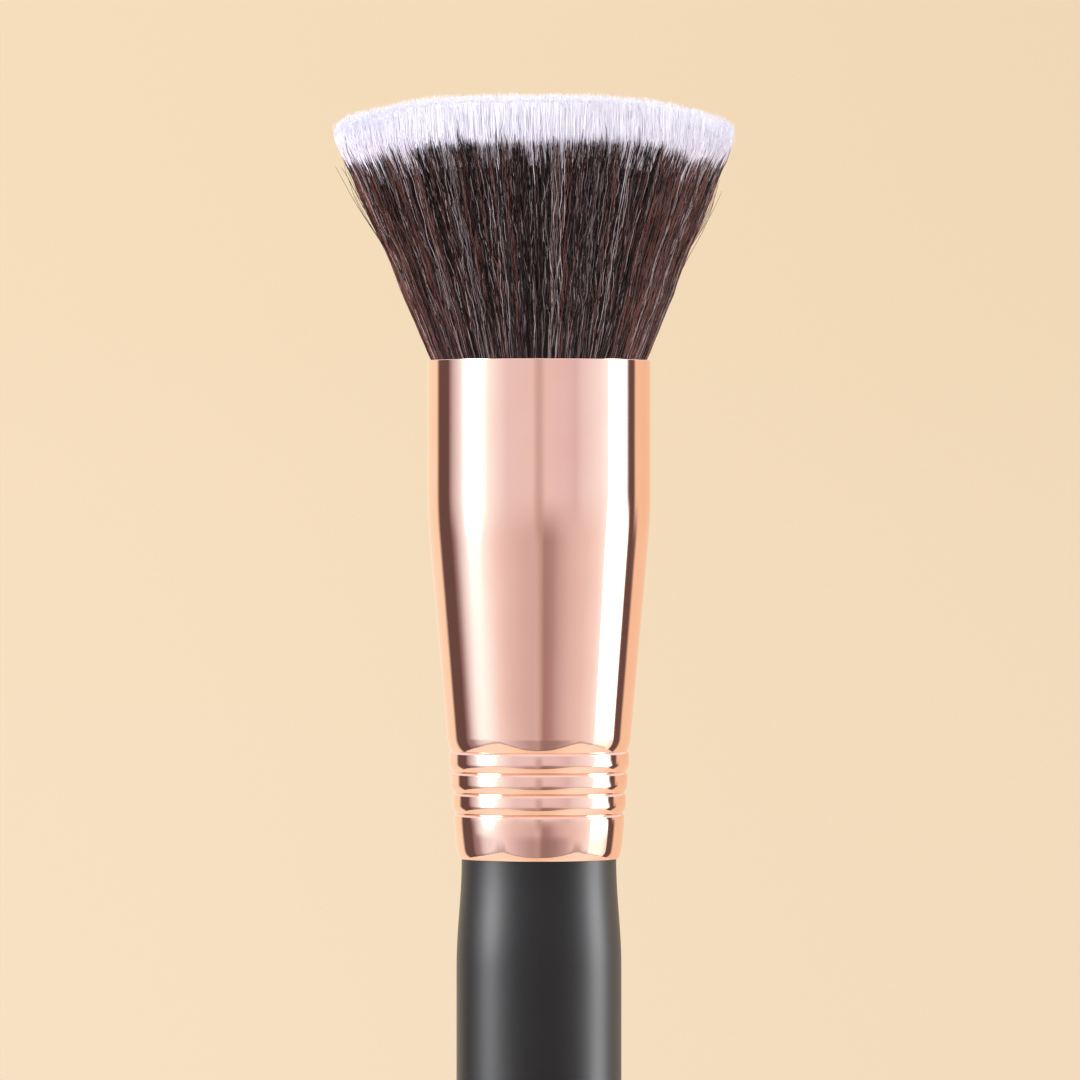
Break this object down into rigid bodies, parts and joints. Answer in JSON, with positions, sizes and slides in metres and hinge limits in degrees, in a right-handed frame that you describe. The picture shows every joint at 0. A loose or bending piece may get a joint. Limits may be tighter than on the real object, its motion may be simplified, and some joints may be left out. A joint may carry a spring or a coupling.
{
  "type": "foundation brush",
  "caption": "Flat-top face brush: a flared head of dark filaments with white tips, held by a beaded metal ferrule on a turned, black-lacquered wooden handle.",
  "frame": {"origin": "on the brush's axis, at the middle of the straight grip", "axes": "+Z along the axis from the grip to the head, +X to the right in the pictured view and -Y towards its camera"},
  "size_m": [0.039, 0.039, 0.1671],
  "materials": {
    "turned_wood": "satin",
    "black_lacquer": "matt",
    "cured_glue": "satin",
    "rose_metal": "polished",
    "cast_epoxy": "gloss",
    "thread": "matt",
    "glued_roots": "satin",
    "dark_filament": "satin",
    "white_filament": "satin"
  },
  "bodies": {
    "root": {"handle": "turned_wood", "handle_lacquer": "black_lacquer", "tenon_glue": "cured_glue", "ferrule": "rose_metal", "epoxy_plug": "cast_epoxy", "binding_thread": "thread", "root_bundle": "glued_roots", "dark_filaments": "dark_filament", "white_filaments": "white_filament"}
  },
  "joints": []
}
